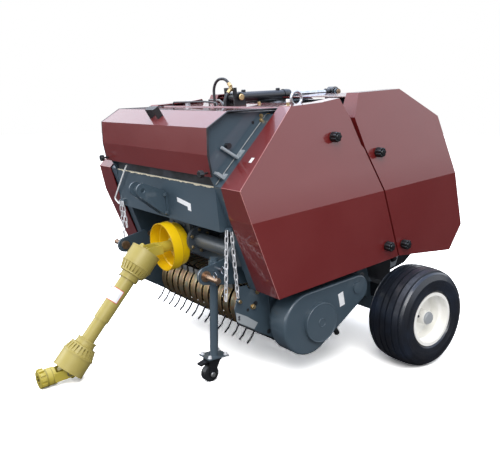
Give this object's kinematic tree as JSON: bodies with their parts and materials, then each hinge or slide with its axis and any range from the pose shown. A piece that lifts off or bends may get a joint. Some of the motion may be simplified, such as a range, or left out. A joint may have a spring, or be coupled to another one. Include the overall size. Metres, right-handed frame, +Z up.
{
  "type": "round baler",
  "caption": "Small fixed-chamber round baler on floatation tyres and a caster jack, with tailgate, pickup reel, twine hood and telescopic drive shaft.",
  "frame": {"origin": "on the ground, under the middle of the bounding box", "axes": "+Y to the rear, +X to the side with the chain case and the jack, +Z up; the machine stands as it parks, nose down"},
  "size_m": [1.464, 1.7233, 1.1729],
  "materials": {
    "maroon": "glossy, folded sheet",
    "blue_grey": "glossy paint",
    "gearbox_grey": "satin paint on a casting",
    "guard_yellow": "moulded",
    "guard_khaki": "moulded, weathered",
    "yoke_olive": "satin paint",
    "zinc_yellow": "yellow zinc",
    "zinc": "zinc plated",
    "roller_steel": "rolled steel",
    "black_paint": "satin",
    "chrome": "polished",
    "tyre_rubber": "moulded",
    "rim_cream": "glossy paint",
    "black_plastic": "moulded",
    "rubber": "moulded",
    "tine_steel": "dark spring steel",
    "rod_white": "gloss paint"
  },
  "bodies": {
    "chassis": {"side_frame_left": "blue_grey", "side_frame_right": "blue_grey", "cross_plate": "blue_grey", "upper_hitch": "blue_grey", "lower_hitch": "blue_grey", "hitch_pins": "zinc_yellow", "gearbox": "gearbox_grey", "input_yoke": "yoke_olive", "guard_cone": "guard_yellow", "axle": "blue_grey", "cover_front_left": "maroon", "cover_front_right": "maroon", "front_knobs": "black_plastic", "twine_box": "blue_grey", "top_plate": "maroon", "lift_bracket": "black_paint", "lifting_ring": "zinc", "pickup_plates": "blue_grey", "pickup_strips": "zinc_yellow", "chain_case": "blue_grey", "jack_sleeve": "blue_grey", "safety_chains": "zinc", "net_rod": "rod_white", "lift_hoses": "rubber", "hose_fittings": "zinc_yellow"},
    "tailgate": {"tailgate_frame": "blue_grey", "tailgate_roof": "maroon", "cover_rear_left": "maroon", "cover_rear_right": "maroon", "rear_knobs": "black_plastic"},
    "hood": {"hood": "maroon", "hood_fittings": "black_plastic"},
    "lift_barrel": {"lift_barrel": "black_paint"},
    "lift_rod": {"lift_rod": "chrome"},
    "pickup_reel": {"pickup_reel": "tine_steel"},
    "wheel_left": {"tyre_left": "tyre_rubber", "rim_left": "rim_cream"},
    "wheel_right": {"tyre_right": "tyre_rubber", "rim_right": "rim_cream"},
    "near_cross": {"near_cross": "zinc"},
    "upper_shaft": {"near_yoke": "yoke_olive", "upper_guard": "guard_khaki"},
    "lower_shaft": {"lower_guard": "guard_khaki", "shaft_tube_yoke": "yoke_olive"},
    "far_cross": {"far_cross": "zinc"},
    "far_yoke": {"far_yoke": "yoke_olive"},
    "jack_leg": {"jack_leg": "blue_grey"},
    "caster_fork": {"caster_fork": "black_paint"},
    "caster_wheel": {"caster_wheel": "black_plastic"},
    "roller_front_1": {"roller_front_1": "roller_steel"},
    "roller_front_2": {"roller_front_2": "roller_steel"},
    "roller_front_3": {"roller_front_3": "roller_steel"},
    "roller_front_4": {"roller_front_4": "roller_steel"},
    "roller_front_5": {"roller_front_5": "roller_steel"},
    "roller_rear_1": {"roller_rear_1": "roller_steel"},
    "roller_rear_2": {"roller_rear_2": "roller_steel"},
    "roller_rear_3": {"roller_rear_3": "roller_steel"},
    "roller_rear_4": {"roller_rear_4": "roller_steel"},
    "roller_rear_5": {"roller_rear_5": "roller_steel"},
    "roller_rear_6": {"roller_rear_6": "roller_steel"}
  },
  "joints": [
    {"name": "tailgate_hinge", "type": "hinge", "parent": "chassis", "child": "tailgate", "pos_m": [0, 0.2162, 1.01295], "axis": [1, 0, 0], "range_deg": [0, 45]},
    {"name": "hood_hinge", "type": "hinge", "parent": "chassis", "child": "hood", "pos_m": [0, -0.06069, 1.04519], "axis": [-1, 0, 0], "range_deg": [0, 60]},
    {"name": "lift_barrel_hinge", "type": "hinge", "parent": "chassis", "child": "lift_barrel", "pos_m": [0, 0.04217, 1.09018], "axis": [1, 0, 0], "range_deg": [0, 33.2]},
    {"name": "lift_rod_slide", "type": "slide", "parent": "lift_barrel", "child": "lift_rod", "axis": [0, 0.9981, 0.0609], "range_m": [-0.0973, 0]},
    {"name": "roller_front_1_spin", "type": "hinge", "parent": "chassis", "child": "roller_front_1", "pos_m": [0, 0.15004, 0.94501], "axis": [1, 0, 0], "continuous": true},
    {"name": "roller_front_2_spin", "type": "hinge", "parent": "chassis", "child": "roller_front_2", "pos_m": [0, 0.04507, 0.80053], "axis": [1, 0, 0], "continuous": true},
    {"name": "roller_front_3_spin", "type": "hinge", "parent": "chassis", "child": "roller_front_3", "pos_m": [0, 0.0264, 0.62292], "axis": [1, 0, 0], "continuous": true},
    {"name": "roller_front_4_spin", "type": "hinge", "parent": "chassis", "child": "roller_front_4", "pos_m": [0, 0.24352, 0.3548], "axis": [1, 0, 0], "continuous": true},
    {"name": "roller_front_5_spin", "type": "hinge", "parent": "chassis", "child": "roller_front_5", "pos_m": [0, 0.42112, 0.33614], "axis": [1, 0, 0], "continuous": true},
    {"name": "roller_rear_1_spin", "type": "hinge", "parent": "tailgate", "child": "roller_rear_1", "pos_m": [0, 0.31318, 1.01764], "axis": [1, 0, 0], "continuous": true},
    {"name": "roller_rear_2_spin", "type": "hinge", "parent": "tailgate", "child": "roller_rear_2", "pos_m": [0, 0.49079, 0.99898], "axis": [1, 0, 0], "continuous": true},
    {"name": "roller_rear_3_spin", "type": "hinge", "parent": "tailgate", "child": "roller_rear_3", "pos_m": [0, 0.63527, 0.89401], "axis": [1, 0, 0], "continuous": true},
    {"name": "roller_rear_4_spin", "type": "hinge", "parent": "tailgate", "child": "roller_rear_4", "pos_m": [0, 0.7079, 0.73086], "axis": [1, 0, 0], "continuous": true},
    {"name": "roller_rear_5_spin", "type": "hinge", "parent": "tailgate", "child": "roller_rear_5", "pos_m": [0, 0.68924, 0.55325], "axis": [1, 0, 0], "continuous": true},
    {"name": "roller_rear_6_spin", "type": "hinge", "parent": "tailgate", "child": "roller_rear_6", "pos_m": [0, 0.58427, 0.40877], "axis": [1, 0, 0], "continuous": true},
    {"name": "pickup_spin", "type": "hinge", "parent": "chassis", "child": "pickup_reel", "pos_m": [0, -0.03019, 0.24801], "axis": [1, 0, 0], "continuous": true},
    {"name": "wheel_left_spin", "type": "hinge", "parent": "chassis", "child": "wheel_left", "pos_m": [0.637, 0.5173, 0.205], "axis": [1, 0, 0], "continuous": true},
    {"name": "wheel_right_spin", "type": "hinge", "parent": "chassis", "child": "wheel_right", "pos_m": [-0.637, 0.5173, 0.205], "axis": [1, 0, 0], "continuous": true},
    {"name": "near_joint_lift", "type": "hinge", "parent": "chassis", "child": "near_cross", "pos_m": [0, -0.39551, 0.47104], "axis": [-1, 0, 0], "range_deg": [0, 50]},
    {"name": "near_joint_swing", "type": "hinge", "parent": "near_cross", "child": "upper_shaft", "pos_m": [0, -0.39551, 0.47104], "axis": [0, 0.7727, -0.6348], "range_deg": [-25, 25]},
    {"name": "shaft_slide", "type": "slide", "parent": "upper_shaft", "child": "lower_shaft", "axis": [0, 0.6348, 0.7727], "range_m": [0, 0.07]},
    {"name": "far_joint_swing", "type": "hinge", "parent": "lower_shaft", "child": "far_cross", "pos_m": [0, -0.7447, 0.046], "axis": [0, 0.7727, -0.6348], "range_deg": [-25, 25]},
    {"name": "far_joint_bend", "type": "hinge", "parent": "far_cross", "child": "far_yoke", "pos_m": [0, -0.7447, 0.046], "axis": [-1, 0, 0], "range_deg": [-45, 5]},
    {"name": "jack_slide", "type": "slide", "parent": "chassis", "child": "jack_leg", "axis": [0, 0, 1], "range_m": [0, 0.24]},
    {"name": "caster_swivel", "type": "hinge", "parent": "jack_leg", "child": "caster_fork", "pos_m": [0.31, -0.2727, 0.098], "axis": [0, 0, 1], "continuous": true},
    {"name": "caster_spin", "type": "hinge", "parent": "caster_fork", "child": "caster_wheel", "pos_m": [0.31, -0.2927, 0.032], "axis": [1, 0, 0], "continuous": true}
  ],
  "couplings": [
    {"joint": "lift_barrel_hinge", "follows": "tailgate_hinge", "ratio": 0.734},
    {"joint": "lift_rod_slide", "follows": "tailgate_hinge", "m_per_rad": -0.1232},
    {"joint": "roller_front_2_spin", "follows": "roller_front_1_spin", "ratio": 1},
    {"joint": "roller_front_3_spin", "follows": "roller_front_1_spin", "ratio": 1},
    {"joint": "roller_front_4_spin", "follows": "roller_front_1_spin", "ratio": 1},
    {"joint": "roller_front_5_spin", "follows": "roller_front_1_spin", "ratio": 1},
    {"joint": "roller_rear_1_spin", "follows": "roller_front_1_spin", "ratio": 1},
    {"joint": "roller_rear_2_spin", "follows": "roller_front_1_spin", "ratio": 1},
    {"joint": "roller_rear_3_spin", "follows": "roller_front_1_spin", "ratio": 1},
    {"joint": "roller_rear_4_spin", "follows": "roller_front_1_spin", "ratio": 1},
    {"joint": "roller_rear_5_spin", "follows": "roller_front_1_spin", "ratio": 1},
    {"joint": "roller_rear_6_spin", "follows": "roller_front_1_spin", "ratio": 1},
    {"joint": "pickup_spin", "follows": "roller_front_1_spin", "ratio": 1}
  ]
}
